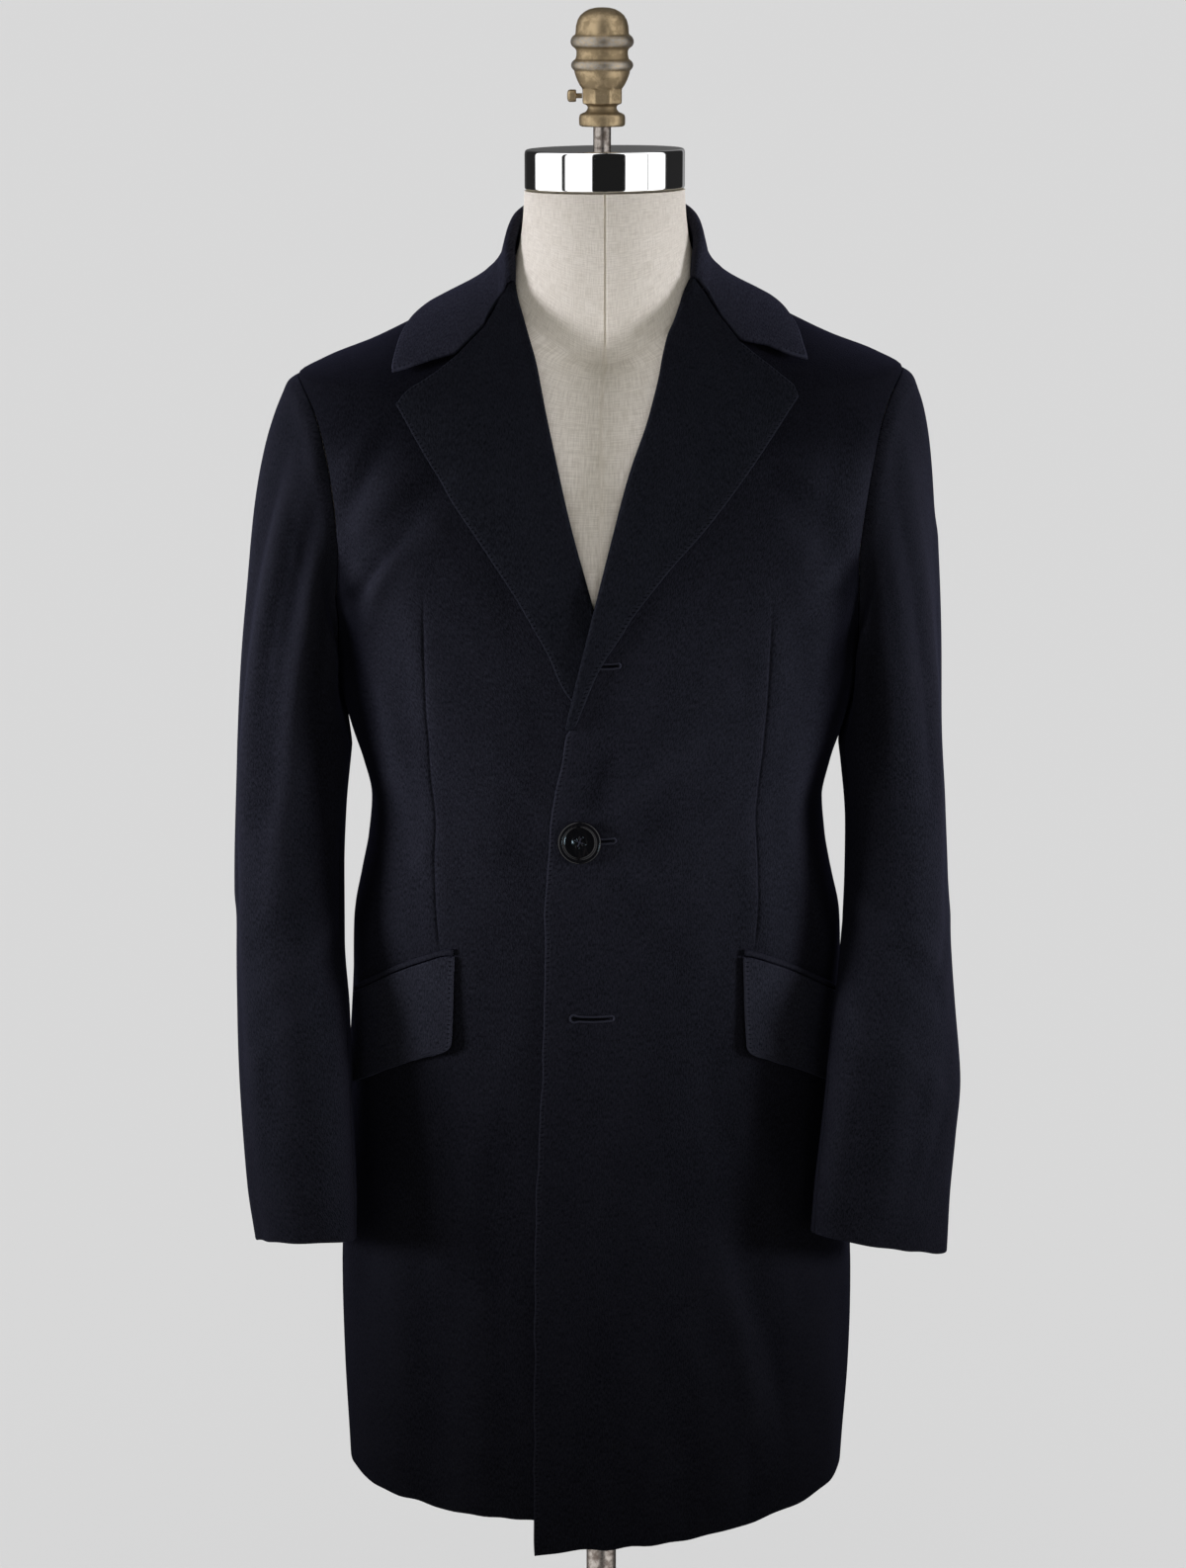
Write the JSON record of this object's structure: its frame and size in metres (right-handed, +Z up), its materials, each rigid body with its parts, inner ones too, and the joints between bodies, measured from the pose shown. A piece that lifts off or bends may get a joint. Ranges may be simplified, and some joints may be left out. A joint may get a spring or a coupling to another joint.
{
  "type": "wool overcoat on a dress form",
  "caption": "Dark navy wool overcoat with notched lapels and slanted flap pockets, buttoned on a limbless dress form with a metal neck cap and finial, on a pole and round base.",
  "frame": {"origin": "on the floor, at the middle of the stand's round base", "axes": "+Z up along the stand's pole, -Y the side that the coat's front faces, +X the wearer's left"},
  "size_m": [0.5789, 0.38, 1.7049],
  "materials": {
    "wool": "matte, short raised nap",
    "wool_collar": "matte, short raised nap, a little lighter than the body",
    "horn": "dark polished horn",
    "linen": "cream linen, tightly stretched",
    "chrome": "polished",
    "steel": "satin",
    "brass": "aged, worn plating",
    "base_paint": "black, semi-matte"
  },
  "bodies": {
    "root": {"back_left": "wool", "back_right": "wool", "front_left": "wool", "front_right": "wool", "top_sleeve_left": "wool", "top_sleeve_right": "wool", "under_sleeve_left": "wool", "under_sleeve_right": "wool", "lapel_left": "wool", "lapel_right": "wool", "collar": "wool_collar", "pocket_welt_left": "wool", "pocket_welt_right": "wool", "pocket_flap_left": "wool", "pocket_flap_right": "wool", "button": "horn", "form_torso": "linen", "form_neck_cap": "chrome", "form_rod": "steel", "form_finial": "brass", "form_screw": "brass", "stand_pole": "steel", "stand_base": "base_paint"}
  },
  "joints": []
}
